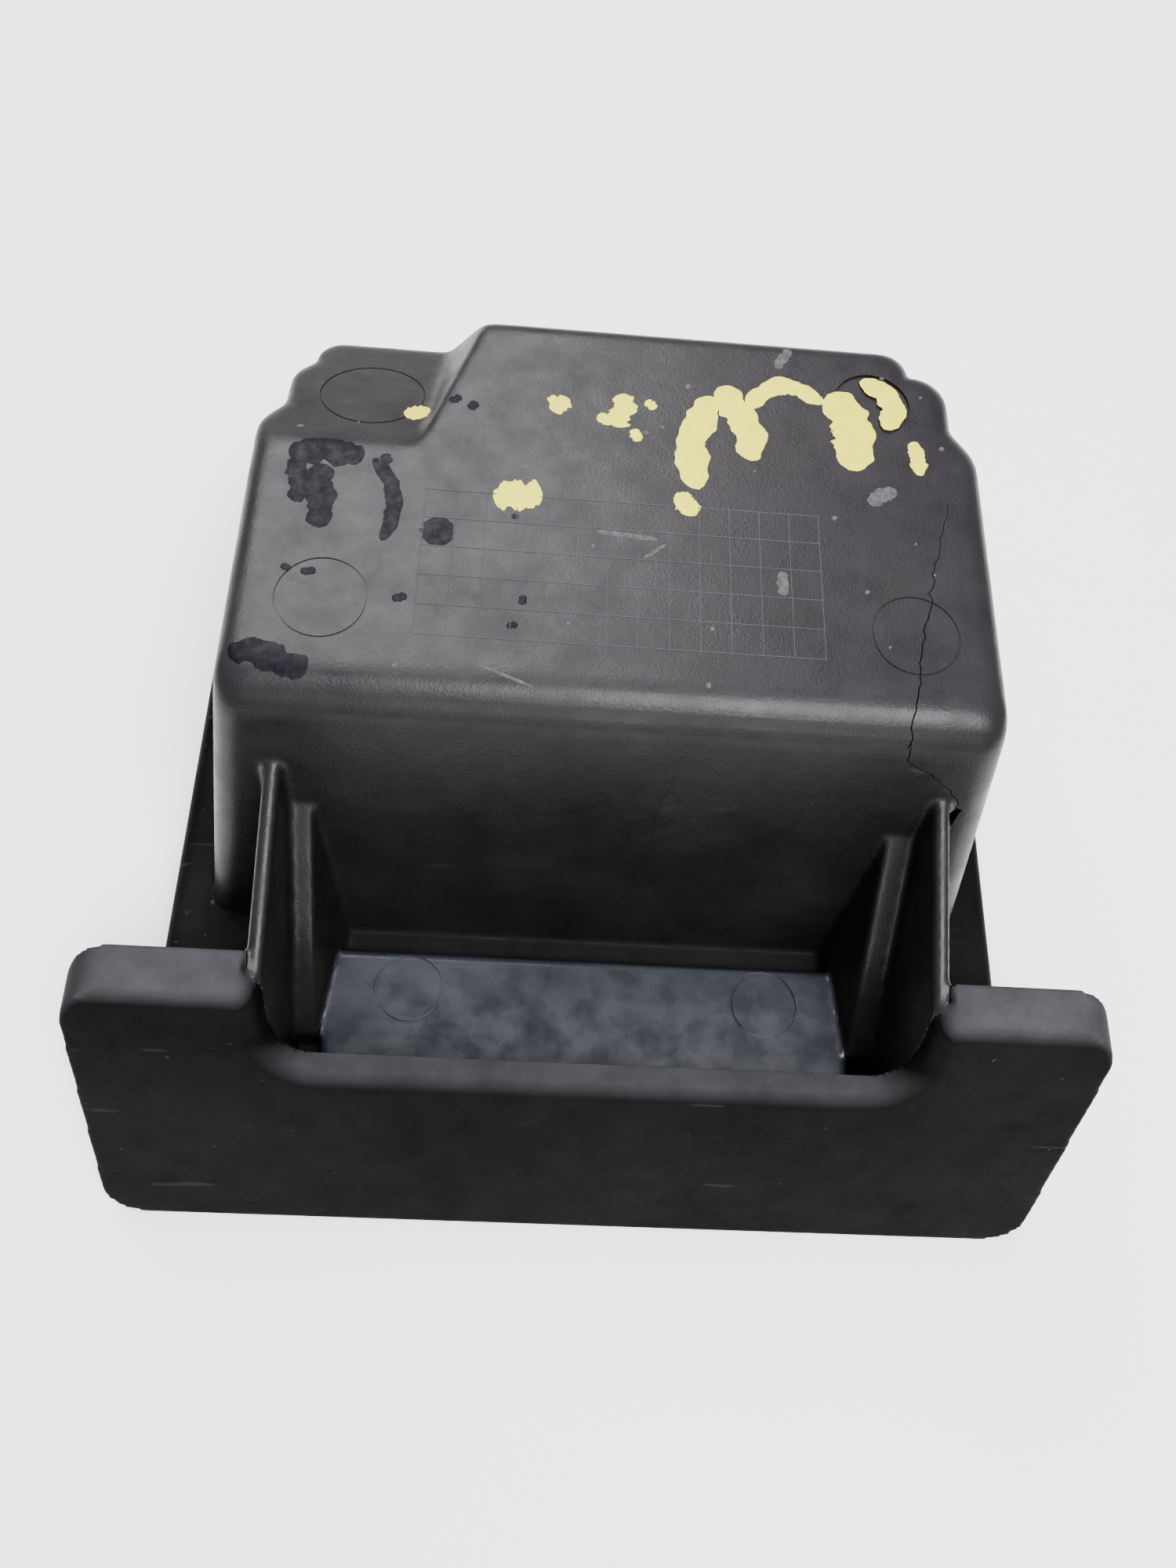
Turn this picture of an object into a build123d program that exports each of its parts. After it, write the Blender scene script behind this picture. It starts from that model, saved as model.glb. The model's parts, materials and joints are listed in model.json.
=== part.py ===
from build123d import *
import os
from math import atan2, cos, degrees, pi, sin, sqrt, tan

# Injection-moulded storage tub with a notched front fascia, lying upside down.
#
# The tub is modelled square to its own floor, in millimetres: +X to the right, +Y from
# the fascia towards the far wall, +Z out of the closed floor, z = 0 on the floor's outer
# face. It is then tilted so that it stands on the fascia's lower edge and the far rim,
# and moved so that z = 0 is the table under it.
#
# The real thing is one moulding. It is cut here along its corners into the plates and
# ribs that it is moulded from, which meet face to face.

# ---- driving dimensions ------------------------------------------------------
WALL = 2.6                 # thickness of the tub's floor and walls
DEPTH = 67.0               # floor's outer face down to the top of the rim flange
FLOOR_FRONT = -27.6        # front edge of the floor
FLOOR_FAR = 57.0           # far edge of the floor
FLOOR_RIGHT = 67.3         # the floor is a little wider on the left
FLOOR_LEFT = 68.6
FRONT_DRAFT = 15.6 * pi / 180
SIDE_DRAFT = 9.2 * pi / 180
FAR_DRAFT = 6.0 * pi / 180
FRONT_BLEND = 8.5          # radius between floor and front wall
SIDE_BLEND = 4.0           # radius between floor and the other walls
BLEND_STEPS = 7            # sections that make each of those radii
LEAST_BLEND = 1.4          # least of those radii inside the tub

# the far corners step in twice: each corner's distance in from the side, y and radius,
# with no radius on the inner corners between the steps
RIGHT_STEPS = ((0, 32.2, 9.0), (4.5, 38.5, 0), (4.7, 51.6, 6.5), (11.9, 51.4, 0),
               (12.2, FLOOR_FAR, 5.0))
LEFT_STEPS = ((0, 29.5, 7.0), (4.3, 35.3, 0), (4.5, 46.0, 7.0), (8.5, 49.7, 0),
              (8.7, FLOOR_FAR, 5.5))
CORNER_RADIUS = 5.0        # upright front corners, in plan
NOOK_RADIUS = 0.3          # inner corners between the steps
INNER_NOOK = 1.6           # and the same corners inside the tub
INNER_LEAST = 0.6          # least radius of an outer corner inside the tub

RAMP_START = 24.0          # the far left of the floor slopes down from here
RAMP_DROP = 11.0           # to this far below the floor at the far wall
RAMP_NEAR_X = -39.0        # right-hand end of the fold where the ramp starts
RAMP_TOP_X = -27.5         # top and foot of the ramp's bank at the far wall
RAMP_FOOT_X = -36.0

RIM_HALF = 88.6            # half the width over the rim flange
RIM_FAR = 9.5              # flange beyond the far wall's foot
RIM_PLATE = 3.0            # flange thickness
RIM_SKIRT = 7.0            # height of its turned-down edge
RIM_BOTTOM = DEPTH + RIM_SKIRT
RIM_ROLL = 4.0             # radius of that edge
RIM_CORNER = 10.0          # far corners in plan

PAD_TOP = 65.0             # ledge pad, below the floor's outer face
PAD_HALF = 53.6
PAD_FAR = -53.2
PAD_CORNER = 2.5
CHANNEL_FLOOR = 70.5       # channel between the pad and the front wall
SHELF_BOTTOM = CHANNEL_FLOOR + RIM_PLATE

FASCIA_TOP_Y = -73.4       # front face of the fascia, carried up to the ears' top
FASCIA_TOP = 25.2          # depth of the ears' top
FASCIA_BOTTOM_Y = -104.4
FASCIA_BOTTOM = 88.6
FASCIA_SKIN = 5.2          # thickness along y
FASCIA_LEFT = (93.2, 96.2)   # its left edge's distance from the middle, top and bottom
FASCIA_RIGHT = (93.2, 95.4)  # the same on the right
FASCIA_TOP_RADIUS = 9.5
FASCIA_BOTTOM_RADIUS = 7.5
FASCIA_ROUND = 4.6         # rounding over the top of the ears and the notch
EAR_RADIUS = 5.0           # inner top corner of each ear
EAR_RETURN = 3.8           # depth of the flange round the back of each ear
EAR_RETURN_THICK = 3.0
EAR_RETURN_END = 84.0      # how far down the ear's outer end it runs
NOTCH_HALF = 59.2
NOTCH_BOTTOM = 44.8
NOTCH_RADIUS = 9.0

TALL_RIB_INNER = 59.0      # inner face of each tall gusset
TALL_RIB_THICK = 3.2
TALL_RIB_WALL = 17.0       # depth where its top meets the front wall
TALL_RIB_KNEE = (-33.5, 17.6)   # y and depth where its top bends over
TALL_RIB_FALL = 0.2        # slope of its top above that bend
TALL_RIB_EAR = 28.5        # depth where its top meets the ear
TALL_RIB_PAST = 5.0        # how far that line runs on into the ear
TALL_RIB_ROUND = 1.5       # rounding of its top edges
LOW_RIB_WALL = 28.5        # the same for the low gusset beside it
LOW_RIB_END = -71.0        # y where the low gusset runs out at the pad's level
LOW_RIB_LEFT = 4.4         # widths of the two low gussets
LOW_RIB_RIGHT = 5.4
LOW_RIB_SPREAD = 3.6       # how much wider they are at the foot of the wall
LOW_RIB_FOOT = 0.6         # how much further out their ends are in the channel

FLOOR_SLICE = 12.0         # the tub's floor node reaches this far down its walls
FRONT_SLICE = 62.0         # half width of the front wall's node
FAR_SLICE = 32.0           # y where the side walls end and the far corners start
FAR_CORNER = 54.0          # half width between the far corners
RIM_CUT = 55.0             # y where the rim's side lengths meet the far one
MARGIN = 20.0              # overshoot of a shape that is trimmed afterwards
NEAR = 1.0                 # clearance for picking edges and for clean cuts
BIG = 400.0                # well beyond the tub on every side


# ---- tub ---------------------------------------------------------------------
def lean(t, radius, draft):
    """How far out a wall is at depth t below its floor, with the blend at its top."""
    if t >= radius * (1 - sin(draft)):
        return t * tan(draft)
    return sqrt(max(0.0, radius ** 2 - (radius - t) ** 2)) - radius * tan(pi / 4 - draft / 2)


def tub_section(depth, inset):
    """The tub's plan at a depth, on the outside or one wall thickness in."""
    def out(radius, draft):
        inner_corner = inset * (tan(draft) - 1 / cos(draft))
        return inner_corner + lean(depth - inset, max(radius - inset, LEAST_BLEND), draft)
    side, front, far = (out(SIDE_BLEND, SIDE_DRAFT), out(FRONT_BLEND, FRONT_DRAFT),
                        out(SIDE_BLEND, FAR_DRAFT))
    left, right = -FLOOR_LEFT - side, FLOOR_RIGHT + side
    near = FLOOR_FRONT - front
    plan = [(left, near, CORNER_RADIUS), (right, near, CORNER_RADIUS)]
    plan += [(right - x, y + far, r) for x, y, r in RIGHT_STEPS]
    plan += [(left + x, y + far, r) for x, y, r in reversed(LEFT_STEPS)]
    nook = INNER_NOOK if inset else NOOK_RADIUS
    radii = [max(r - inset, INNER_LEAST) if r else nook for _, _, r in plan]
    outline = FilletPolyline(*[(x, y) for x, y, _ in plan], radius=radii, close=True)
    return Pos(0, 0, -depth) * make_face(outline)


def tub_body(inset, bottom):
    """The tub's outer form, or the space inside it, as a stack of short lofts."""
    radii = [max(r - inset, LEAST_BLEND) for r in (FRONT_BLEND, SIDE_BLEND)]
    turns = [(k + 1) / BLEND_STEPS * pi / 2 for k in range(BLEND_STEPS)]
    depths = {inset, bottom}
    depths |= {round(inset + radii[0] * (1 - cos(a)), 2) for a in turns}
    depths |= {round(inset + radii[1] * (1 - cos(a)), 2) for a in turns[1::2]}
    return loft([tub_section(d, inset) for d in sorted(depths)], ruled=True)


def ramp_space(inset):
    """What is taken off the far left corner, above the ramp and beside its bank."""
    fall = RAMP_DROP / (FLOOR_FAR - RAMP_START)
    space = block((-BIG, 0), (RAMP_START, BIG), (-BIG, BIG))
    slope = Plane((0, RAMP_START, -inset), x_dir=(1, 0, 0), z_dir=(0, fall, 1))
    near = Vector(RAMP_NEAR_X, RAMP_START, 0)
    top = Vector(RAMP_TOP_X, FLOOR_FAR, 0)
    foot = Vector(RAMP_FOOT_X, FLOOR_FAR, -RAMP_DROP)
    normal = (top - near).cross(foot - near).normalized()
    bank = Plane(near + normal * (inset if normal.X > 0 else -inset), z_dir=normal)
    space = split(space, bisect_by=slope, keep=Keep.TOP)
    return split(space, bisect_by=bank, keep=Keep.BOTTOM if normal.X > 0 else Keep.TOP)


def tub():
    """The open tub and, for trimming what joins it, its outer form as one solid."""
    outer = tub_body(0, SHELF_BOTTOM) - ramp_space(0)
    inner = tub_body(WALL, SHELF_BOTTOM) - ramp_space(WALL)
    return outer - inner, outer


# ---- boxes and prisms --------------------------------------------------------
def block(x, y, depth):
    """A box from (low, high) pairs of x and y and (upper, lower) depths."""
    size = (x[1] - x[0], y[1] - y[0], depth[1] - depth[0])
    return Pos(sum(x) / 2, sum(y) / 2, -sum(depth) / 2) * Box(*size)


def side_prism(points, x):
    """A prism along X between two x, from (y, depth) points."""
    face = make_face(Polyline(*[(0, y, -d) for y, d in points], close=True))
    return extrude(Pos(x[0], 0, 0) * face, x[1] - x[0], dir=(1, 0, 0))


def front_y(depth):
    """Y of the fascia's front face at a depth."""
    slope = (FASCIA_BOTTOM_Y - FASCIA_TOP_Y) / (FASCIA_BOTTOM - FASCIA_TOP)
    return FASCIA_TOP_Y + slope * (depth - FASCIA_TOP)


def wall_y(depth):
    """Y of the tub's front wall at a depth, on the outside."""
    return FLOOR_FRONT - depth * tan(FRONT_DRAFT)


def rim_far_y():
    """Y of the rim flange's far edge."""
    return FLOOR_FAR + DEPTH * tan(FAR_DRAFT) + RIM_FAR


def behind_fascia(gap):
    """Everything behind the fascia's front face, starting a distance along y from it."""
    near = [(front_y(d) + gap, d) for d in (-BIG, BIG)]
    return side_prism(near + [(3 * BIG, BIG), (3 * BIG, -BIG)], (-BIG, BIG))


def plate(points, thick):
    """An upright plate facing the fascia, from (x, depth, radius) points."""
    corners = [(x, 0, -depth) for x, depth, _ in points]
    outline = FilletPolyline(*corners, radius=[r for _, _, r in points], close=True)
    return extrude(Pos(0, BIG, 0) * make_face(outline), 2 * BIG, dir=(0, -1, 0)) & thick


# ---- fascia ------------------------------------------------------------------
def fascia_edge(side):
    """Half widths of the fascia at its top and bottom on one side."""
    return FASCIA_RIGHT if side > 0 else FASCIA_LEFT


def fascia():
    """Sloping front panel with a wide notch between two ears."""
    wide = FASCIA_LEFT[1] + MARGIN
    deep = FASCIA_BOTTOM + MARGIN
    points = [
        (-wide, FASCIA_TOP, 0), (-NOTCH_HALF, FASCIA_TOP, EAR_RADIUS),
        (-NOTCH_HALF, NOTCH_BOTTOM, NOTCH_RADIUS), (NOTCH_HALF, NOTCH_BOTTOM, NOTCH_RADIUS),
        (NOTCH_HALF, FASCIA_TOP, EAR_RADIUS), (wide, FASCIA_TOP, 0),
        (wide, deep, 0), (-wide, deep, 0),
    ]
    panel = plate(points, behind_fascia(0) - behind_fascia(FASCIA_SKIN))
    front = max((f for f in panel.faces() if f.normal_at().Y < 0), key=lambda f: f.area)
    top = [e for e in front.edges()
           if abs(e.center().X) < wide - NEAR and e.center().Z > NEAR - deep]
    panel = fillet(top, FASCIA_ROUND)
    ends = [
        (-FASCIA_LEFT[0], FASCIA_TOP, FASCIA_TOP_RADIUS),
        (FASCIA_RIGHT[0], FASCIA_TOP, FASCIA_TOP_RADIUS),
        (FASCIA_RIGHT[1], FASCIA_BOTTOM, FASCIA_BOTTOM_RADIUS),
        (-FASCIA_LEFT[1], FASCIA_BOTTOM, FASCIA_BOTTOM_RADIUS),
    ]
    return plate(ends, panel)


def ear_return(side):
    """Flange along the back of an ear's top and down its outer end."""
    wide, low = fascia_edge(side)
    end = wide + (low - wide) / (FASCIA_BOTTOM - FASCIA_TOP) * (EAR_RETURN_END - FASCIA_TOP)
    inner, deep = TALL_RIB_INNER + TALL_RIB_THICK, FASCIA_TOP + EAR_RETURN_THICK
    outline = [
        (inner, FASCIA_TOP, 0), (wide, FASCIA_TOP, FASCIA_TOP_RADIUS),
        (end, EAR_RETURN_END, 0), (end - EAR_RETURN_THICK, EAR_RETURN_END, 0),
        (wide - EAR_RETURN_THICK, deep, FASCIA_TOP_RADIUS - EAR_RETURN_THICK),
        (inner, deep, 0),
    ]
    back = FASCIA_SKIN + EAR_RETURN
    return plate([(side * x, d, r) for x, d, r in outline],
                 behind_fascia(FASCIA_SKIN) - behind_fascia(back))


# ---- rim and shelf -----------------------------------------------------------
def rim(tub_outer):
    """Flange round the tub's mouth, with its outer edge turned down."""
    far = rim_far_y()
    near = front_y(RIM_BOTTOM) - MARGIN
    slab = block((-RIM_HALF, RIM_HALF), (near, far), (DEPTH, RIM_BOTTOM))
    slab = fillet([e for e in slab.edges().filter_by(Axis.Z) if e.center().Y > 0], RIM_CORNER)
    upper = slab.faces().sort_by(Axis.Z)[-1]
    slab = fillet([e for e in upper.edges() if e.center().Y > near + NEAR], RIM_ROLL)
    inside = RIM_HALF - RIM_PLATE
    hollow = block((-inside, inside), (near - NEAR, far - RIM_PLATE),
                   (DEPTH + RIM_PLATE, RIM_BOTTOM + NEAR))
    hollow = fillet([e for e in hollow.edges().filter_by(Axis.Z) if e.center().Y > 0],
                    RIM_CORNER - RIM_PLATE)
    half = TALL_RIB_INNER + TALL_RIB_THICK
    front = block((-half, half), (near - NEAR, wall_y(CHANNEL_FLOOR) + MARGIN), (0, BIG))
    return (slab - hollow - front - tub_outer) & behind_fascia(FASCIA_SKIN)


def front_shelf(tub_outer):
    """Sunk channel round the pad, between the front wall and the fascia."""
    channel = block((-TALL_RIB_INNER, TALL_RIB_INNER), (-2 * BIG, 0),
                    (CHANNEL_FLOOR, SHELF_BOTTOM))
    under_pad = block((-PAD_HALF, PAD_HALF), (-2 * BIG, PAD_FAR), (0, BIG))
    return (channel - under_pad - tub_outer) & behind_fascia(FASCIA_SKIN)


def ledge_pad():
    """Raised pad with its edge turned down to the channel."""
    pad = block((-PAD_HALF, PAD_HALF), (-2 * BIG, PAD_FAR), (PAD_TOP, SHELF_BOTTOM))
    pad = fillet([e for e in pad.edges().filter_by(Axis.Z) if e.center().Y > -BIG], PAD_CORNER)
    inside = PAD_HALF - RIM_PLATE
    hollow = block((-inside, inside), (-2 * BIG, PAD_FAR - RIM_PLATE),
                   (PAD_TOP + RIM_PLATE, SHELF_BOTTOM + NEAR))
    return (pad - hollow) & behind_fascia(FASCIA_SKIN)


# ---- gussets -----------------------------------------------------------------
def tall_gusset(side, tub_outer):
    """Rib from high on the front wall to the ear, down to the rim."""
    ear_back = front_y(TALL_RIB_EAR) + FASCIA_SKIN
    profile = [
        (wall_y(TALL_RIB_WALL) + MARGIN, TALL_RIB_WALL - MARGIN * TALL_RIB_FALL),
        TALL_RIB_KNEE,
        (ear_back - TALL_RIB_PAST, TALL_RIB_EAR),
        (ear_back - BIG, SHELF_BOTTOM), (wall_y(0), SHELF_BOTTOM),
    ]
    x = (TALL_RIB_INNER, TALL_RIB_INNER + TALL_RIB_THICK)
    rib = side_prism(profile, x if side > 0 else (-x[1], -x[0]))
    along = rib.edges().filter_by(Axis.X, reverse=True)
    top = [e for e in along if e.center().Z > -TALL_RIB_EAR and e.center().Y > FASCIA_BOTTOM_Y]
    rib = fillet(top, TALL_RIB_ROUND)
    return (rib - tub_outer) & behind_fascia(FASCIA_SKIN)


def low_gusset(side, width, tub_outer):
    """Shorter rib beside the tall one, falling from the front wall to the channel."""
    outer = TALL_RIB_INNER
    foot = outer - width - LOW_RIB_SPREAD
    wall_top = wall_y(LOW_RIB_WALL)
    slope = (PAD_TOP - LOW_RIB_WALL) / (LOW_RIB_END - wall_top)
    start = (wall_top + MARGIN, LOW_RIB_WALL + MARGIN * slope)
    profile = [start, (LOW_RIB_END, PAD_TOP), (LOW_RIB_END - LOW_RIB_FOOT, CHANNEL_FLOOR),
               (wall_y(0), CHANNEL_FLOOR)]
    x = (foot - NEAR, outer)
    rib = side_prism(profile, x if side > 0 else (-x[1], -x[0]))
    high = Vector(side * (outer - width), wall_top, -LOW_RIB_WALL)
    low = Vector(side * foot, wall_y(CHANNEL_FLOOR), -CHANNEL_FLOOR)
    end = Vector(side * (outer - width), LOW_RIB_END, -PAD_TOP)
    normal = (low - high).cross(end - high).normalized()
    inward = normal if normal.X * side < 0 else normal * -1
    rib = split(rib, bisect_by=Plane(high, z_dir=inward), keep=Keep.BOTTOM)
    return rib - tub_outer - ledge_pad()


# ---- nodes -------------------------------------------------------------------
def tub_nodes(shell):
    """The tub cut along its corners."""
    wide, low = (-BIG, BIG), (FLOOR_SLICE, BIG)
    return {
        "tub_floor": shell & block(wide, wide, (-NEAR, FLOOR_SLICE)),
        "tub_front_wall": shell & block((-FRONT_SLICE, FRONT_SLICE), (-BIG, 0), low),
        "tub_left_wall": shell & block((-BIG, -FRONT_SLICE), (-BIG, FAR_SLICE), low),
        "tub_right_wall": shell & block((FRONT_SLICE, BIG), (-BIG, FAR_SLICE), low),
        "tub_far_left_corner": shell & block((-BIG, -FAR_CORNER), (FAR_SLICE, BIG), low),
        "tub_far_right_corner": shell & block((FAR_CORNER, BIG), (FAR_SLICE, BIG), low),
        "tub_far_wall": shell & block((-FAR_CORNER, FAR_CORNER), (FAR_SLICE, BIG), low),
    }


def rim_nodes(flange):
    """The rim flange in three lengths."""
    near = (-BIG, RIM_CUT)
    return {
        "rim_left": flange & block((-BIG, 0), near, (0, BIG)),
        "rim_right": flange & block((0, BIG), near, (0, BIG)),
        "rim_far": flange & block((-BIG, BIG), (RIM_CUT, BIG), (0, BIG)),
    }


def fascia_nodes(panel):
    """The fascia's middle and the two ends that carry its ears."""
    whole, cut = (-BIG, BIG), NOTCH_HALF - NOTCH_RADIUS
    return {
        "fascia_middle": panel & block((-cut, cut), whole, whole),
        "fascia_left": panel & block((-BIG, -cut), whole, whole),
        "fascia_right": panel & block((cut, BIG), whole, whole),
    }


def nodes():
    """Every node, square to the tub's floor."""
    shell, outer = tub()
    made = tub_nodes(shell)
    made |= rim_nodes(rim(outer))
    made |= fascia_nodes(fascia())
    made["front_shelf"] = front_shelf(outer)
    made["ledge_pad"] = ledge_pad()
    for name, side, width in (("left", -1, LOW_RIB_LEFT), ("right", 1, LOW_RIB_RIGHT)):
        made["ear_return_" + name] = ear_return(side)
        made["tall_gusset_" + name] = tall_gusset(side, outer)
        made["low_gusset_" + name] = low_gusset(side, width, outer)
    return made


# ---- standing on the table ---------------------------------------------------
def stand(made):
    """Tilt the nodes onto the fascia's lower edge and the far rim, and centre them."""
    near = FASCIA_BOTTOM_Y + FASCIA_SKIN
    tilt = atan2(FASCIA_BOTTOM - RIM_BOTTOM, rim_far_y() - near)
    turned = {name: Rot(-degrees(tilt), 0, 0) * solid for name, solid in made.items()}
    boxes = [solid.bounding_box() for solid in turned.values()]
    x = min(b.min.X for b in boxes) + max(b.max.X for b in boxes)
    y = min(b.min.Y for b in boxes) + max(b.max.Y for b in boxes)
    shift = Pos(-x / 2, -y / 2, -min(b.min.Z for b in boxes))
    return {name: shift * solid for name, solid in turned.items()}


os.makedirs("parts", exist_ok=True)
for name, solid in stand(nodes()).items():
    export_step(solid, "parts/" + name + ".step")
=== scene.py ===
import bmesh
import bpy
import json
import random
from math import atan2, cos, pi, radians, sin, sqrt
from mathutils import Matrix, Vector, noise
from mathutils.bvhtree import BVHTree


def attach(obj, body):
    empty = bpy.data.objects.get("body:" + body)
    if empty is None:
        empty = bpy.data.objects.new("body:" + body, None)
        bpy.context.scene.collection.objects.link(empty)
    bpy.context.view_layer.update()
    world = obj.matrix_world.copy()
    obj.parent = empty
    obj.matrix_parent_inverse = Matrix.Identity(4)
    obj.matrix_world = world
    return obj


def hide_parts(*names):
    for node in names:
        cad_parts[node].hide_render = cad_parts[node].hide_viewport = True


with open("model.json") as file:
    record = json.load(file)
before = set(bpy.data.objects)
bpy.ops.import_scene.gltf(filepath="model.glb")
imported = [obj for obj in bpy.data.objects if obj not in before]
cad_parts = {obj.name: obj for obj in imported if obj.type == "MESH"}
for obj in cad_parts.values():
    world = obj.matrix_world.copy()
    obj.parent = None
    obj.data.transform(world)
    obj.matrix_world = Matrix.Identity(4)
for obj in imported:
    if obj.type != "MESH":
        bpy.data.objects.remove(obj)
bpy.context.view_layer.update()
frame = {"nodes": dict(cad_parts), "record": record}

# An upturned, one-piece moulded storage tub. Its surface is made from all the CAD nodes
# at once, so that its plates and ribs run into each other as a moulding's do, and is then
# parted again into closed pieces. Places on the tub are in millimetres, square to its
# floor: x to the right, y from the fascia to the far wall, and depth below the floor.
MM = 0.001

# ---- the moulding ------------------------------------------------------------
VOXEL = 0.55               # grid that the joined nodes are rebuilt on
ROUNDING_STEPS = 7         # smoothing passes, which round every edge by about a millimetre
RAMP_STEPS = 45            # more of them where the floor folds down to the ramp
KEPT_SHARE = 0.24          # share of the triangles that is kept
SCRAP_FACES = 600          # a loose part with fewer faces is a boolean's scrap
SHARP_ANGLE = radians(38)  # a cut between two pieces is sharper than this
CUT_VOXEL = 0.9            # grid of the shapes that part it into pieces
CUT_SPREAD = 0.45          # how far beyond its nodes a piece reaches into its neighbours
RAMP_RIGHT = -22           # the softened ramp lies left of this x, and beyond this y
RAMP_NEAR = 17
RAMP_DEEPEST = 20          # and only this far down the walls round it
FADE = 6                   # distance over which the softening fades out

# Each piece with its nodes and slot, in the order they are parted; the tub is the rest.
PARTED = (
    ("fascia_panel", "moulding", ("fascia_middle", "fascia_left", "fascia_right",
                                  "ear_return_left", "ear_return_right")),
    ("pad", "gloss_moulding", ("ledge_pad",)),
    ("channel", "gloss_moulding", ("front_shelf",)),
    ("gussets_left", "moulding", ("tall_gusset_left", "low_gusset_left")),
    ("gussets_right", "moulding", ("tall_gusset_right", "low_gusset_right")),
    ("rim_flange", "moulding", ("rim_left", "rim_right", "rim_far")),
)
TUB_NODES = ("tub_floor", "tub_front_wall", "tub_left_wall", "tub_right_wall",
             "tub_far_left_corner", "tub_far_right_corner", "tub_far_wall")

# ---- moulded marks -----------------------------------------------------------
FLOOR_MARKS = ((-52.5, -9, 8), (51.5, -9, 8), (-49, 40, 10))   # x, y and radius
SUNK_MARK = (47, 42, 7.5)
PAD_MARKS = ((-37, -61, 7.1), (36.5, -61, 7.1))
GROOVE_WIDE = 0.32
GROOVE_DEEP = 0.2
PAD_GROOVE_WIDE = 0.7
PAD_GROOVE_DEEP = 0.5
SUNK_DEEP = 0.5
RING_SIDES = 96
CUTTER_ABOVE = 1           # how far a mark's cutter stands out of the surface

GRID_MIDDLE = -0.7         # x of the date grid's middle, which is at y = 0
GRID_COLUMNS = 13
GRID_ROWS = 5
CELL_WIDE = 5.5
CELL_LONG = 6.0
RIDGE_WIDE = 0.28
RIDGE_HIGH = 0.09

# ---- damage ------------------------------------------------------------------
CRACK_FLOOR = ((60, 20), (55, 0), (50, -25), (50, -29))   # x, y on the floor
CRACK_WALL = ((50, 4), (51, 8), (56, 11), (63, 17), (65, 25), (65, 35))   # x, depth on the front wall
CHIP = ((64, 20), (64, 25))                    # hole broken out beside the right gusset
CHIP_WIDE = 2.2
CHIP_DEEP = 4.5                                # right through the wall
CRACK_WIDE = 0.32
CRACK_DEEP = 0.8
CRACK_STEP = 1.3           # length of a crack's straight stretches
CRACK_WANDER = 0.45        # most that a crack strays to either side
BLADE_ABOVE = 0.6          # how far a crack's cutter stands out of the surface
BLADE_TIP = 0.35           # its width at the ends of the crack, and at its bottom edge
BLADE_FOOT = 0.4
HAIRLINE = ((12, 9), (9, 26), (9, 42))
HAIRLINE_WIDE = 0.12

# Patches on the floor: middle x and y, length, width, angle in degrees and how far the
# middle of the patch bows out to its left. Only the large ones are placed; the small ones
# are scattered, and every outline is made ragged by seeded noise.
PAINT = (
    (15, 30, 22, 6, 80, 3), (20, 35, 18, 6, -70, 2), (30, 40, 15, 4, 10, 5),
    (40, 35, 18, 8, -80, 3), (-20, 15, 9, 6, 10, 0), (-40, 35, 5, 4, 20, 0),
    (55, 30, 8, 3, -85, 0), (10, 15, 5, 4, -50, 1),
)
PAINT_ON_SUNK_MARK = (12, 5, -70, 4)           # length, width, angle and bow
PAINT_SCATTER = ((-15, 25), (15, 40), 10, (1.5, 4))   # low corner, high corner, count, sizes
TAR = (
    (-55, 20, 13, 6, 0, 2), (-60, 15, 10, 4, -80, 1), (-55, 12, 14, 5, -85, 0),
    (-45, 12, 18, 3, -80, 3), (-60, -22, 14, 5, -15, 1),
)
TAR_CELL = (0, 3)                              # date grid cell that is smeared, column and row
TAR_SCATTER = ((-60, -20), (-18, 42), 9, (1, 2.5))
SMEARS = (
    (0, 8, 11, 1, -5, 0), (5, 5, 5, 0.7, 40, 0), (28, 0, 5, 2, 90, 0), (48, 20, 6, 3, 35, 1),
    (30, 52, 6, 2, 60, 0), (-20, -22, 10, 0.5, -20, 0),
)
SPECK_SCATTER = ((-62, -24), (62, 52), 30, (0.4, 0.9))
SMEAR_THICK = 0.04
PAINT_THICK = 0.13
TAR_THICK = 0.07
PATCH_LONG = 44            # steps along a patch and across it
PATCH_ACROSS = 9
PATCH_AHEAD = 0.02         # share of its length over which its direction is taken
PATCH_ROOT = 0.25          # how far a patch's underside sits in the plastic
RAGGED = 0.27              # how uneven its edge is
ROUGHEST = 1.6             # and by how much the noise can swell it
DUST_SHADE_FROM = 12             # heights over the table where dust begins and is full; its fade below them is painted shade on the low parts, such as the rim flange
DUST_SHADE_FULL = 66

# ---- camera ------------------------------------------------------------------
CAMERA_AT = (-17.3, -116.7, -175.4)            # x, y and depth, over the fascia
CAMERA_RIGHT = Vector((0.9965, 0.0282, 0.0781))   # its axes, square to the floor
CAMERA_UP = Vector((-0.0567, 0.918, 0.3924))
LENS = 27
SENSOR = 36

# ---- tub's own axes ----------------------------------------------------------
floor_mount = frame["record"]["mounts"][0]
TILT = atan2(floor_mount["axis"][1], floor_mount["axis"][2])
MOUNT_AT = Vector((10, 5, 0))   # where that mount is on the floor
TUB = (Matrix.Translation(floor_mount["pos_m"]) @ Matrix.Rotation(-TILT, 4, "X")
       @ Matrix.Translation(-MOUNT_AT * MM))
TUB_INVERSE = TUB.inverted()
UP = (TUB.to_3x3() @ Vector((0, 0, 1))).normalized()
BACK = (TUB.to_3x3() @ Vector((0, 1, 0))).normalized()


def at(x, y, depth):
    """A place on the tub, in the row frame in metres."""
    return TUB @ (Vector((x, y, -depth)) * MM)


# ---- mesh helpers ------------------------------------------------------------
def add_object(name, mesh):
    """A new object of a mesh, in the scene."""
    made = bpy.data.objects.new(name, mesh)
    bpy.context.scene.collection.objects.link(made)
    return made


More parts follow.
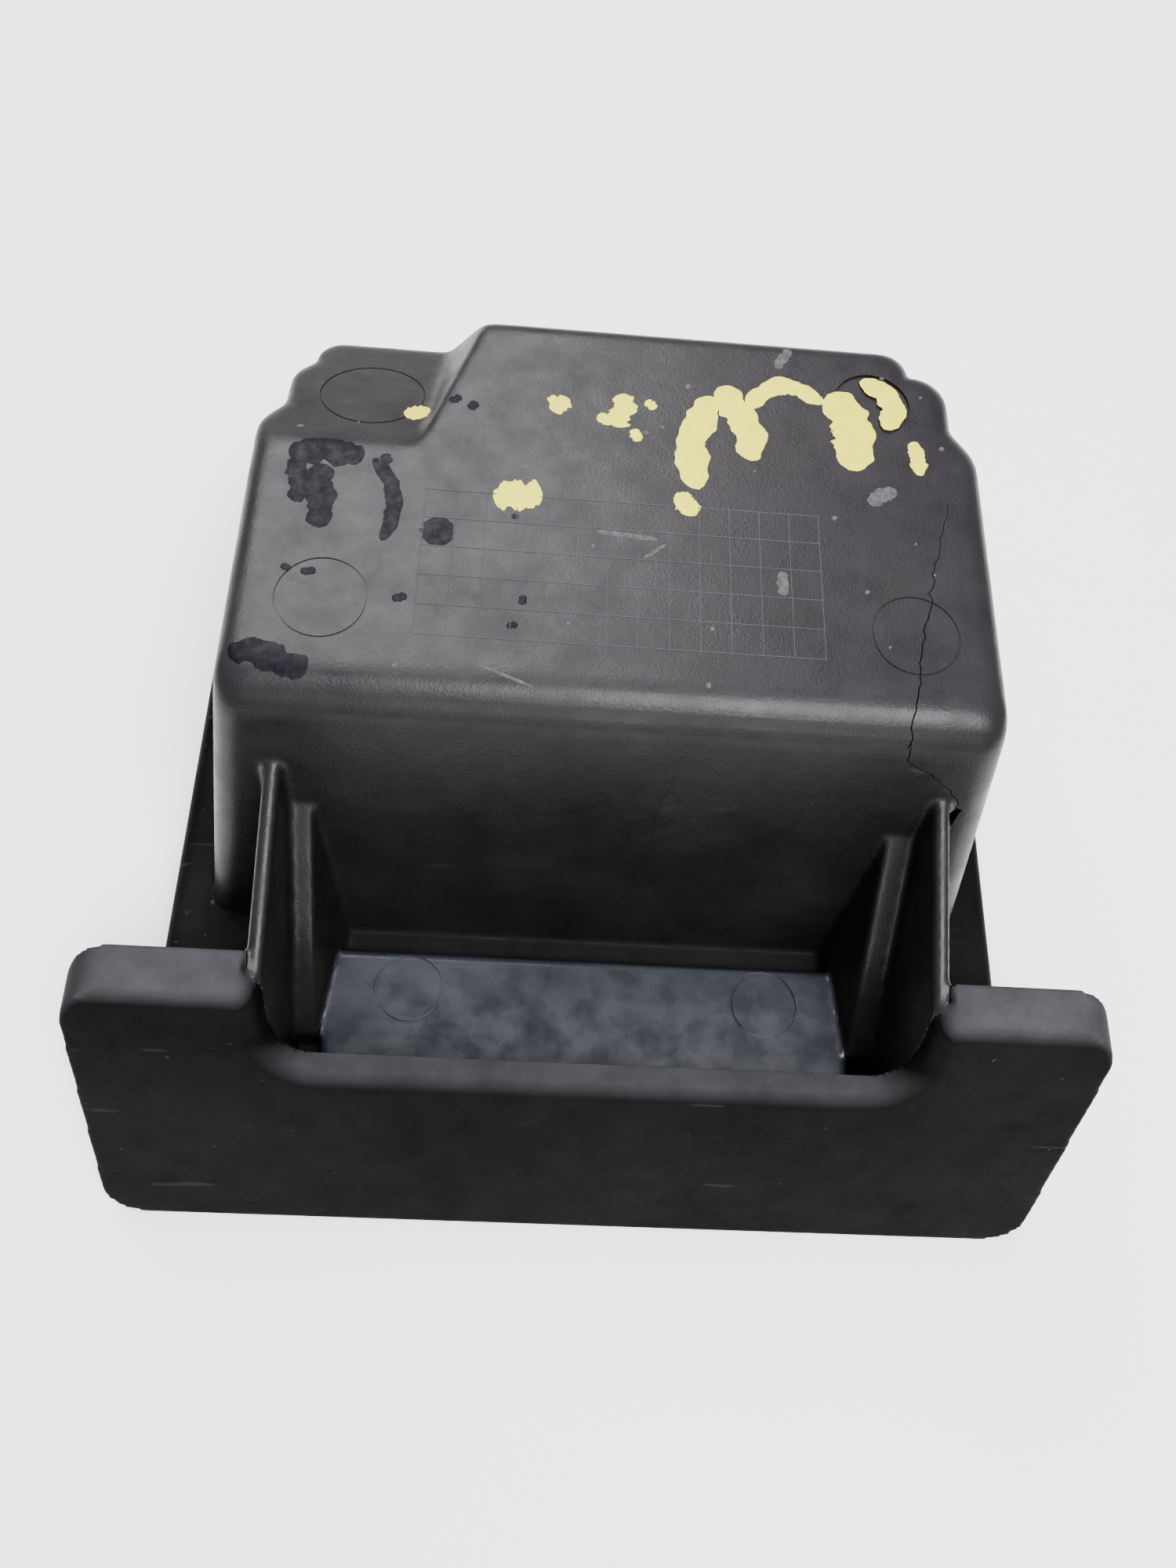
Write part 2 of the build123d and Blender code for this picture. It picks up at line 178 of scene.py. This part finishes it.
def finish_bmesh(name, work):
    """An object of a bmesh, with its faces turned outwards."""
    bmesh.ops.recalc_face_normals(work, faces=work.faces)
    mesh = bpy.data.meshes.new(name)
    work.to_mesh(mesh)
    work.free()
    return add_object(name, mesh)


def apply_modifiers(made):
    """Turn an object's modifiers into its mesh."""
    graph = bpy.context.evaluated_depsgraph_get()
    mesh = bpy.data.meshes.new_from_object(made.evaluated_get(graph))
    made.modifiers.clear()
    made.data = mesh
    return made


def copy_of(made, name):
    """A separate copy of an object."""
    return add_object(name, made.data.copy())


def discard(*unwanted):
    """Remove working objects."""
    for one in unwanted:
        bpy.data.objects.remove(one)


def join_nodes(name, nodes):
    """One object with the surfaces of several CAD nodes."""
    work = bmesh.new()
    for node in nodes:
        work.from_mesh(frame["nodes"][node].data)
    bmesh.ops.remove_doubles(work, verts=work.verts, dist=0.001 * MM)
    return finish_bmesh(name, work)


def rebuild(made, voxel):
    """Rebuild a closed object on an even grid."""
    remesh = made.modifiers.new("grid", "REMESH")
    remesh.mode = "VOXEL"
    remesh.voxel_size = voxel * MM
    return apply_modifiers(made)


def combine(made, other, operation):
    """A boolean of two closed objects, kept in the first."""
    cut = made.modifiers.new("cut", "BOOLEAN")
    cut.operation = operation
    cut.solver = "MANIFOLD"
    cut.object = other
    return apply_modifiers(made)


def island_from(face, seen):
    """The faces joined to one through edges that two faces share."""
    island = [face]
    seen.add(face.index)
    for one in island:
        for edge in one.edges:
            if len(edge.link_faces) != 2:
                continue
            for other in edge.link_faces:
                if other.index not in seen:
                    seen.add(other.index)
                    island.append(other)
    return island


def drop_scraps(made):
    """Remove the loose scraps that a boolean leaves behind."""
    work = bmesh.new()
    work.from_mesh(made.data)
    work.faces.ensure_lookup_table()
    seen = set()
    scraps = []
    for face in work.faces:
        if face.index not in seen:
            island = island_from(face, seen)
            if len(island) < SCRAP_FACES:
                scraps += island
    bmesh.ops.delete(work, geom=scraps, context="FACES")
    work.to_mesh(made.data)
    work.free()


def shade(made):
    """Smooth shading that stops at the cuts between pieces."""
    made.data.shade_smooth()
    made.data.set_sharp_from_angle(angle=SHARP_ANGLE)


# ---- the moulding's surface --------------------------------------------------
def ramp_weight(point):
    """How much a point belongs to the soft folds round the ramp, from 0 to 1."""
    x, y, z = TUB_INVERSE @ point / MM
    inside = min(RAMP_RIGHT - x, y - RAMP_NEAR, z + RAMP_DEEPEST)
    return max(0.0, min(1.0, inside / FADE))


def moulding():
    """The whole moulding as one closed, softly rounded surface."""
    whole = rebuild(join_nodes("moulding", sorted(frame["nodes"])), VOXEL)
    group = whole.vertex_groups.new(name="ramp")
    for vertex in whole.data.vertices:
        weight = ramp_weight(vertex.co)
        if weight > 0:
            group.add([vertex.index], weight, "REPLACE")
    rounding = whole.modifiers.new("rounding", "SMOOTH")
    rounding.iterations = ROUNDING_STEPS
    fold = whole.modifiers.new("fold", "SMOOTH")
    fold.iterations = RAMP_STEPS
    fold.vertex_group = "ramp"
    thin = whole.modifiers.new("thin", "DECIMATE")
    thin.ratio = KEPT_SHARE
    return apply_modifiers(whole)


def surface_of(made):
    """A tree for finding places on an object's surface."""
    work = bmesh.new()
    work.from_mesh(made.data)
    tree = BVHTree.FromBMesh(work)
    work.free()
    return tree


def floor_point(surface, x, y):
    """The place and outward direction of the surface straight below a point above the tub."""
    spot, direction, _, _ = surface.ray_cast(at(x, y, -20), -UP)
    return spot, direction


def wall_point(surface, x, depth):
    """The same on the front wall, seen from the fascia's side."""
    spot, direction, _, _ = surface.ray_cast(at(x, -50, depth), BACK)
    return spot, direction


# ---- grooves and cracks ------------------------------------------------------
def ring(work, place, outer, inner, high, low):
    """A closed ring, or a disc when inner is 0, between two heights along its own Z."""
    loops = []
    for radius, z in ((outer, high), (outer, low), (inner, low), (inner, high)):
        turns = [2 * pi * k / RING_SIDES for k in range(RING_SIDES)]
        loops.append([work.verts.new(place @ (Vector((radius * cos(a), radius * sin(a), z)) * MM))
                      for a in turns] if radius else None)
    if inner:
        for one, two in zip(loops, loops[1:] + loops[:1]):
            for k in range(RING_SIDES):
                n = (k + 1) % RING_SIDES
                work.faces.new((one[k], one[n], two[n], two[k]))
        return
    for k in range(RING_SIDES):
        n = (k + 1) % RING_SIDES
        work.faces.new((loops[0][k], loops[0][n], loops[1][n], loops[1][k]))
    work.faces.new(loops[0])
    work.faces.new(loops[1])


def facing(spot, direction):
    """A frame at a place with its Z along a direction."""
    return Matrix.Translation(spot) @ direction.to_track_quat("Z", "Y").to_matrix().to_4x4()


def mark_cutter(surface):
    """Grooves round the ejector marks, and the one mark that is sunk all over."""
    work = bmesh.new()
    for marks, wide, deep in ((FLOOR_MARKS, GROOVE_WIDE, GROOVE_DEEP),
                              (PAD_MARKS, PAD_GROOVE_WIDE, PAD_GROOVE_DEEP)):
        for x, y, radius in marks:
            place = facing(*floor_point(surface, x, y))
            ring(work, place, radius, radius - wide, CUTTER_ABOVE, -deep)
    x, y, radius = SUNK_MARK
    ring(work, facing(*floor_point(surface, x, y)), radius, 0, CUTTER_ABOVE, -SUNK_DEEP)
    return finish_bmesh("mark_cutter", work)


def wander(points, rng):
    """A jagged line of close points through a few given ones."""
    line = []
    for (ax, ay), (bx, by) in zip(points, points[1:]):
        steps = max(2, int(sqrt((bx - ax) ** 2 + (by - ay) ** 2) / CRACK_STEP))
        for k in range(steps):
            shift = rng.uniform(-CRACK_WANDER, CRACK_WANDER)
            line.append((ax + (bx - ax) * k / steps + shift, ay + (by - ay) * k / steps))
    line.append(points[-1])
    return line


def blade(name, stations, wide, deep):
    """A thin closed blade along a line of (place, outward direction), narrowing to its ends."""
    work = bmesh.new()
    sections = []
    last = len(stations) - 1
    for k, (spot, direction) in enumerate(stations):
        ahead = stations[min(k + 1, last)][0] - stations[max(k - 1, 0)][0]
        across = ahead.cross(direction).normalized()
        half = across * wide / 2 * MM * (BLADE_TIP + (1 - BLADE_TIP) * sin(pi * (k + 0.5) / (last + 1)))
        top = spot + direction * BLADE_ABOVE * MM
        bottom = spot - direction * deep * MM
        sections.append([work.verts.new(p) for p in
                         (top - half, top + half, bottom + half * BLADE_FOOT, bottom - half * BLADE_FOOT)])
    for one, two in zip(sections, sections[1:]):
        for k in range(4):
            n = (k + 1) % 4
            work.faces.new((one[k], one[n], two[n], two[k]))
    work.faces.new(sections[0])
    work.faces.new(sections[-1])
    return finish_bmesh(name, work)


def cut_details(whole):
    """Cut the ejector marks and the cracks into the moulding."""
    surface = surface_of(whole)
    rng = random.Random(11)
    crack = [floor_point(surface, x, y) for x, y in wander(CRACK_FLOOR, rng)]
    crack += [wall_point(surface, x, d) for x, d in wander(CRACK_WALL, rng)]
    hairline = [wall_point(surface, x, d) for x, d in wander(HAIRLINE, rng)]
    chip = [wall_point(surface, x, d) for x, d in wander(CHIP, rng)]
    cutters = [
        mark_cutter(surface),
        blade("crack", crack, CRACK_WIDE, CRACK_DEEP),
        blade("hairline", hairline, HAIRLINE_WIDE, GROOVE_DEEP),
        blade("chip", chip, CHIP_WIDE, CHIP_DEEP),
    ]
    for cutter in cutters:
        combine(whole, cutter, "DIFFERENCE")
    discard(*cutters)
    return surface


def part_moulding(whole):
    """Part the moulding into its pieces, each closed and meeting its neighbours."""
    made = {}
    for name, _, nodes in PARTED:
        region = rebuild(join_nodes("region", nodes), CUT_VOXEL)
        swell = region.modifiers.new("swell", "DISPLACE")
        swell.strength = CUT_SPREAD * MM
        swell.mid_level = 0
        apply_modifiers(region)
        piece = combine(copy_of(whole, name), region, "INTERSECT")
        combine(whole, region, "DIFFERENCE")
        discard(region)
        made[name] = piece
    made["tub_shell"] = whole
    whole.name = "tub_shell"
    return made


# ---- raised date grid --------------------------------------------------------
def ridges(name, lines):
    """Low straight ridges on the floor, from (x0, y0, x1, y1) boxes."""
    work = bmesh.new()
    slope = RIDGE_WIDE / 4
    for x0, y0, x1, y1 in lines:
        low = [(x0, y0), (x1, y0), (x1, y1), (x0, y1)]
        high = [(x0 + slope, y0 + slope), (x1 - slope, y0 + slope),
                (x1 - slope, y1 - slope), (x0 + slope, y1 - slope)]
        bottom = [work.verts.new(at(x, y, RIDGE_HIGH)) for x, y in low]
        top = [work.verts.new(at(x, y, -RIDGE_HIGH)) for x, y in high]
        work.faces.new(bottom[::-1])
        work.faces.new(top)
        for k in range(4):
            n = (k + 1) % 4
            work.faces.new((bottom[k], bottom[n], top[n], top[k]))
    return finish_bmesh(name, work)


def date_grid():
    """Grid of empty cells moulded on the floor."""
    half = RIDGE_WIDE / 2
    left = GRID_MIDDLE - GRID_COLUMNS * CELL_WIDE / 2
    near = -GRID_ROWS * CELL_LONG / 2
    right, far = left + GRID_COLUMNS * CELL_WIDE, -near
    columns = [left + k * CELL_WIDE for k in range(GRID_COLUMNS + 1)]
    rows = [near + k * CELL_LONG for k in range(GRID_ROWS + 1)]
    made = ridges("date_grid", [(x - half, near - half, x + half, far + half) for x in columns])
    across = ridges("across", [(left - 2 * half, y - half, right + 2 * half, y + half) for y in rows])
    combine(made, across, "UNION")
    discard(across)
    return made


# ---- paint and tar -----------------------------------------------------------
def patch(work, surface, spec, thick, seed):
    """A thin ragged patch lying on the floor along a bowed line."""
    x, y, long, wide, angle, bow = spec
    half = wide / 2
    along = Vector((cos(radians(angle)), sin(radians(angle)))) * long / 2
    bend = Vector((-along.y, along.x)).normalized() * 2 * bow
    start, end = Vector((x, y)) - along, Vector((x, y)) + along
    bend += Vector((x, y))

    def edge(u, side):
        rough = noise.noise(Vector((u * 5, side * 7, seed))) + 0.5 * noise.noise(
            Vector((u * 14, side * 9, seed + 50)))
        return half * sqrt(max(0.0, 1 - (2 * u - 1) ** 4)) * (1 + RAGGED * rough * ROUGHEST)

    def line(u):
        return start * (1 - u) ** 2 + bend * 2 * u * (1 - u) + end * u * u

    tops, bottoms = [], []
    for i in range(PATCH_LONG + 1):
        u = i / PATCH_LONG
        ahead = (line(min(u + PATCH_AHEAD, 1)) - line(max(u - PATCH_AHEAD, 0))).normalized()
        across = Vector((-ahead.y, ahead.x))
        tops.append([])
        bottoms.append([])
        for j in range(PATCH_ACROSS + 1):
            v = 2 * j / PATCH_ACROSS - 1
            place = line(u) + across * v * edge(u, 1 if v > 0 else -1)
            spot, direction = floor_point(surface, place.x, place.y)
            rise = sqrt(max(0.0, 1 - v * v)) * (1 - (2 * u - 1) ** 8)
            uneven = 1 + 0.5 * noise.noise(Vector((place.x, place.y, seed)))
            tops[-1].append(work.verts.new(spot + direction * thick * rise * uneven * MM))
            bottoms[-1].append(work.verts.new(spot - direction * PATCH_ROOT * rise * MM))
    for rows in (tops, bottoms):
        for i in range(PATCH_LONG):
            for j in range(PATCH_ACROSS):
                work.faces.new((rows[i][j], rows[i + 1][j], rows[i + 1][j + 1], rows[i][j + 1]))


def scattered(low, high, count, sizes, rng):
    """Small patches at random places between two corners."""
    made = []
    for _ in range(count):
        size = rng.uniform(*sizes)
        x, y = rng.uniform(low[0], high[0]), rng.uniform(low[1], high[1])
        made.append((x, y, size * rng.uniform(1, 1.7), size, rng.uniform(0, 180), 0))
    return made


def paint_patches():
    """Every patch of paint: the large ones, the one on the sunk mark, and small flakes."""
    on_mark = (*SUNK_MARK[:2], *PAINT_ON_SUNK_MARK)
    return [*PAINT, on_mark, *scattered(*PAINT_SCATTER, random.Random(3))]


def tar_patches():
    """Every patch of tar: the large ones, a smeared cell of the date grid, and dots."""
    column, row = TAR_CELL
    x = GRID_MIDDLE + (column + 0.5 - GRID_COLUMNS / 2) * CELL_WIDE
    y = (row + 0.5 - GRID_ROWS / 2) * CELL_LONG
    return [*TAR, (x, y, CELL_LONG, CELL_WIDE, 90, 0), *scattered(*TAR_SCATTER, random.Random(8))]


def smear_patches():
    """Every pale smear, and specks of grit."""
    return [*SMEARS, *scattered(*SPECK_SCATTER, random.Random(21))]


def patches(name, surface, specs, thick):
    """All the patches of one kind, as one object."""
    work = bmesh.new()
    for seed, spec in enumerate(specs):
        patch(work, surface, spec, thick, seed)
    bmesh.ops.remove_doubles(work, verts=work.verts, dist=0.002 * MM)
    bmesh.ops.dissolve_degenerate(work, edges=work.edges, dist=0.002 * MM)
    return finish_bmesh(name, work)


# ---- materials ---------------------------------------------------------------
class Shader:
    """A principled material under construction, with its texture coordinates."""

    def __init__(self, name):
        self.material = bpy.data.materials.new(name)
        self.material.use_nodes = True
        self.tree = self.material.node_tree
        self.surface = self.tree.nodes["Principled BSDF"]
        self.place = self.tree.nodes.new("ShaderNodeTexCoord").outputs["Object"]

    def node(self, kind, **settings):
        made = self.tree.nodes.new(kind)
        for key, value in settings.items():
            setattr(made, key, value)
        return made

    def link(self, source, target):
        self.tree.links.new(source, target)

    def noise(self, size, detail=4, rough=0.6, stretch=None):
        """Noise whose features are about size millimetres across."""
        made = self.node("ShaderNodeTexNoise")
        made.inputs["Scale"].default_value = 1 / (size * MM)
        made.inputs["Detail"].default_value = detail
        made.inputs["Roughness"].default_value = rough
        source = self.place
        if stretch:
            mapping = self.node("ShaderNodeMapping")
            mapping.inputs["Scale"].default_value = stretch
            mapping.inputs["Rotation"].default_value = (0, 0, radians(25))
            self.link(source, mapping.inputs["Vector"])
            source = mapping.outputs["Vector"]
        self.link(source, made.inputs["Vector"])
        return made.outputs["Fac"]

    def ramp(self, source, low, high, start=0.0, end=1.0):
        """Map a value between low and high onto start to end."""
        made = self.node("ShaderNodeMapRange")
        for key, value in (("From Min", low), ("From Max", high), ("To Min", start), ("To Max", end)):
            made.inputs[key].default_value = value
        self.link(source, made.inputs["Value"])
        return made.outputs["Result"]

    def times(self, one, two):
        made = self.node("ShaderNodeMath", operation="MULTIPLY")
        self.link(one, made.inputs[0])
        self.link(two, made.inputs[1])
        return made.outputs[0]

    def mix(self, share, one, two):
        """A colour between two, each a colour or another node's output."""
        made = self.node("ShaderNodeMix", data_type="RGBA")
        self.link(share, made.inputs["Factor"])
        for socket, value in ((made.inputs[6], one), (made.inputs[7], two)):
            if isinstance(value, tuple):
                socket.default_value = (*value, 1)
            else:
                self.link(value, socket)
        return made.outputs[2]

    def dust_with_painted_light(self):
        """Where dust goes, from 0 to 1: on what faces up, fading out lower down. The fade is painted shade
        on the low parts, such as the rim flange, and on the fascia's ear tops the pale colour also stands in
        for a painted highlight.
        """
        facing = self.node("ShaderNodeSeparateXYZ")
        self.link(self.node("ShaderNodeNewGeometry").outputs["Normal"], facing.inputs[0])
        height = self.node("ShaderNodeSeparateXYZ")
        self.link(self.place, height.inputs[0])
        return self.times(self.ramp(facing.outputs["Z"], 0.55, 0.98),
                          self.ramp(height.outputs["Z"], DUST_SHADE_FROM * MM, DUST_SHADE_FULL * MM))

    def worn_and_lit_edge(self):
        """How much a surface is a projecting edge, from 0 to 1. Such edges are lightened as wear and as a
        painted highlight on the rounded edges.
        """
        return self.ramp(self.node("ShaderNodeNewGeometry").outputs["Pointiness"], 0.53, 0.62)

    def bump(self, *layers):
        """Bumps from (height value, millimetres deep) layers."""
        normal = None
        for height, deep in layers:
            made = self.node("ShaderNodeBump")
            made.inputs["Distance"].default_value = deep * MM
            self.link(height, made.inputs["Height"])
            if normal:
                self.link(normal, made.inputs["Normal"])
            normal = made.outputs["Normal"]
        self.link(normal, self.surface.inputs["Normal"])


def plastic(name, dark, light, dust, rough, dust_and_highlight_share, edge_wear_and_highlight, shine, index=1.45, relief=1.0):
    """Moulded plastic with grain, blotches, fine scratches, edges lightened as wear and as a painted
    highlight, and dust on top that fades lower down as painted shade.
    """
    s = Shader(name)
    blotch = s.ramp(s.noise(22, 5), 0.35, 0.68)
    grain = s.noise(0.5, 2)
    colour = s.mix(blotch, dark, light)
    # dust on what faces up and lies high; its fade lower down is painted shade, and on the fascia's ear tops
    # it is also a painted highlight
    colour = s.mix(s.times(s.dust_with_painted_light(), s.ramp(s.noise(9, 6, 0.65), 0.3, 0.7, dust_and_highlight_share * 0.6, dust_and_highlight_share)),
                   colour, dust)
    colour = s.mix(s.ramp(s.noise(1.6, 3, 0.5), 0.72, 0.78, 0, 0.5), colour, dust)
    scratch = s.ramp(s.noise(3, 2, 0.4, stretch=(0.12, 1.4, 0.6)), 0.71, 0.75, 0, 0.16)
    colour = s.mix(scratch, colour, dust)
    # projecting edges lightened: wear, and a painted highlight along rounded edges such as the floor's front
    # blend
    colour = s.mix(s.times(s.worn_and_lit_edge(), s.ramp(s.noise(4, 4), 0.35, 0.65, 0.3 * edge_wear_and_highlight, edge_wear_and_highlight)), colour, dust)
    s.link(colour, s.surface.inputs["Base Color"])
    s.link(s.ramp(s.noise(7, 5), 0.3, 0.7, rough - 0.08, rough + 0.1), s.surface.inputs["Roughness"])
    s.bump((grain, 0.05 * relief), (s.noise(5, 4), 0.06 * relief), (scratch, 0.04 * relief))
    s.surface.inputs["Specular IOR Level"].default_value = shine
    s.surface.inputs["IOR"].default_value = index
    return s.material


def paint_material():
    """Flaked yellow paint."""
    s = Shader("yellow_paint")
    colour = s.mix(s.ramp(s.noise(2.5, 5), 0.35, 0.7), (0.60, 0.57, 0.001), (0.50, 0.45, 0.001))
    colour = s.mix(s.ramp(s.noise(0.7, 3), 0.62, 0.75, 0, 0.6), colour, (0.32, 0.28, 0.07))
    s.link(colour, s.surface.inputs["Base Color"])
    s.link(s.ramp(s.noise(1.5), 0.3, 0.7, 0.45, 0.65), s.surface.inputs["Roughness"])
    s.bump((s.noise(0.8, 4), 0.08))
    return s.material


def tar_material():
    """Black tar with a skin that is glossy in places."""
    s = Shader("tar")
    colour = s.mix(s.ramp(s.noise(1.2, 4), 0.4, 0.75), (0.0015, 0.0015, 0.0030), (0.0060, 0.0060, 0.0090))
    s.link(colour, s.surface.inputs["Base Color"])
    s.link(s.ramp(s.noise(2, 4), 0.3, 0.7, 0.3, 0.6), s.surface.inputs["Roughness"])
    s.surface.inputs["Specular IOR Level"].default_value = 0.07
    s.bump((s.noise(0.9, 4), 0.02))
    return s.material


def smear_material():
    """Thin dried dust and glue, broken up by the plastic under it."""
    s = Shader("pale_smear")
    colour = s.mix(s.ramp(s.noise(1.1, 5), 0.38, 0.62), (0.022, 0.021, 0.023), (0.055, 0.053, 0.053))
    s.link(colour, s.surface.inputs["Base Color"])
    s.surface.inputs["Roughness"].default_value = 0.85
    s.bump((s.noise(0.6, 4), 0.03))
    return s.material


def floor_material():
    """Plain pale floor."""
    s = Shader("pale_floor")
    s.link(s.mix(s.noise(60, 3), (0.86, 0.86, 0.86), (0.89, 0.89, 0.89)), s.surface.inputs["Base Color"])
    s.surface.inputs["Roughness"].default_value = 0.8
    return s.material


# ---- scene -------------------------------------------------------------------
def camera():
    """The main view, from above the fascia."""
    data = bpy.data.cameras.new("camera")
    data.lens = LENS
    data.sensor_width = SENSOR
    data.clip_start = 0.01
    cam = bpy.data.objects.new("camera", data)
    bpy.context.scene.collection.objects.link(cam)
    back = CAMERA_RIGHT.cross(CAMERA_UP).normalized()
    up = back.cross(CAMERA_RIGHT).normalized()
    turn = Matrix((CAMERA_RIGHT.normalized(), up, back)).transposed().to_4x4()
    cam.matrix_world = (Matrix.Translation(at(*CAMERA_AT))
                        @ TUB.to_quaternion().to_matrix().to_4x4() @ turn)
    bpy.context.scene.camera = cam


def softbox(name, place, size, watts):
    """A square area light aimed at the tub."""
    data = bpy.data.lights.new(name, "AREA")
    data.size = size
    data.energy = watts
    lamp = bpy.data.objects.new(name, data)
    bpy.context.scene.collection.objects.link(lamp)
    lamp.location = place
    lamp.rotation_euler = (-Vector(place)).to_track_quat("-Z", "Y").to_euler()


def studio():
    """Pale floor, an even sky and soft light from behind and above."""
    world = bpy.data.worlds.new("studio")
    bpy.context.scene.world = world
    world.use_nodes = True
    world.node_tree.nodes["Background"].inputs["Color"].default_value = (1, 1, 1, 1)
    world.node_tree.nodes["Background"].inputs["Strength"].default_value = 0.36
    softbox("behind", (-0.2, 0.7, 0.9), 0.7, 25)
    softbox("front", (0.1, -1.0, 0.55), 0.6, 9)
    softbox("above", (0.25, -0.25, 1.05), 0.6, 33)
    work = bmesh.new()
    bmesh.ops.create_grid(work, x_segments=1, y_segments=1, size=3)
    floor = finish_bmesh("floor", work)
    floor.data.materials.append(floor_material())


# ---- build -------------------------------------------------------------------
camera()
studio()
matte = plastic("matte_moulding", (0.0040, 0.0035, 0.0032), (0.0085, 0.0075, 0.0072),
                (0.021, 0.019, 0.0245), 0.36, 0.46, 0.7, 0.2)
# The fascia's own darker, duller finish. On the rim flange the same dark finish is painted shade, and its
# large share of pale colour on top stands in for a painted highlight on the ear tops and notch rounding.
panel_and_shade = plastic("panel_and_shade_moulding", (0.0012, 0.0011, 0.0011), (0.0035, 0.0032, 0.0032),
                (0.052, 0.051, 0.058), 0.42, 0.8, 0.7, 0.15, 1.12)
gloss = plastic("gloss_moulding", (0.007, 0.0085, 0.0125), (0.011, 0.013, 0.019),
                (0.030, 0.034, 0.045), 0.24, 0.16, 0.25, 0.34, relief=0.15)
# A dark copy without dust for the channel between wall and pad: painted shade.
shaded = plastic("shaded_moulding", (0.0008, 0.0008, 0.0009), (0.0020, 0.0020, 0.0022),
                 (0.008, 0.008, 0.009), 0.6, 0.0, 0.0, 0.1)
# Lighter than the floor round it: a painted highlight along the date grid's ridges, with more dust.
lit_ridge = plastic("lit_ridge_moulding", (0.026, 0.025, 0.029), (0.042, 0.040, 0.046),
                (0.060, 0.058, 0.066), 0.6, 0.5, 0.0, 0.1)
FINISHES = {"moulding": matte, "gloss_moulding": gloss}
# The channel and the rim flange take dark finishes as painted shade; the fascia takes its own darker finish.
SPECIAL = {"channel": shaded, "fascia_panel": panel_and_shade, "rim_flange": panel_and_shade}

whole = moulding()
surface = cut_details(whole)
pieces = part_moulding(whole)
for name, slot, nodes in PARTED + (("tub_shell", "moulding", TUB_NODES),):
    piece = pieces[name]
    drop_scraps(piece)
    piece.data.materials.clear()
    piece.data.materials.append(SPECIAL.get(name, FINISHES[slot]))
    shade(piece)
    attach(piece, "root")
    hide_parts(*nodes)

for name, made, material in (
        ("date_grid", date_grid(), lit_ridge),
        ("paint_flakes", patches("paint_flakes", surface, paint_patches(), PAINT_THICK), paint_material()),
        ("pale_smears", patches("pale_smears", surface, smear_patches(), SMEAR_THICK),
         smear_material()),
        ("tar_spots", patches("tar_spots", surface, tar_patches(), TAR_THICK), tar_material())):
    made.data.materials.clear()
    made.data.materials.append(material)
    shade(made)
    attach(made, "root")
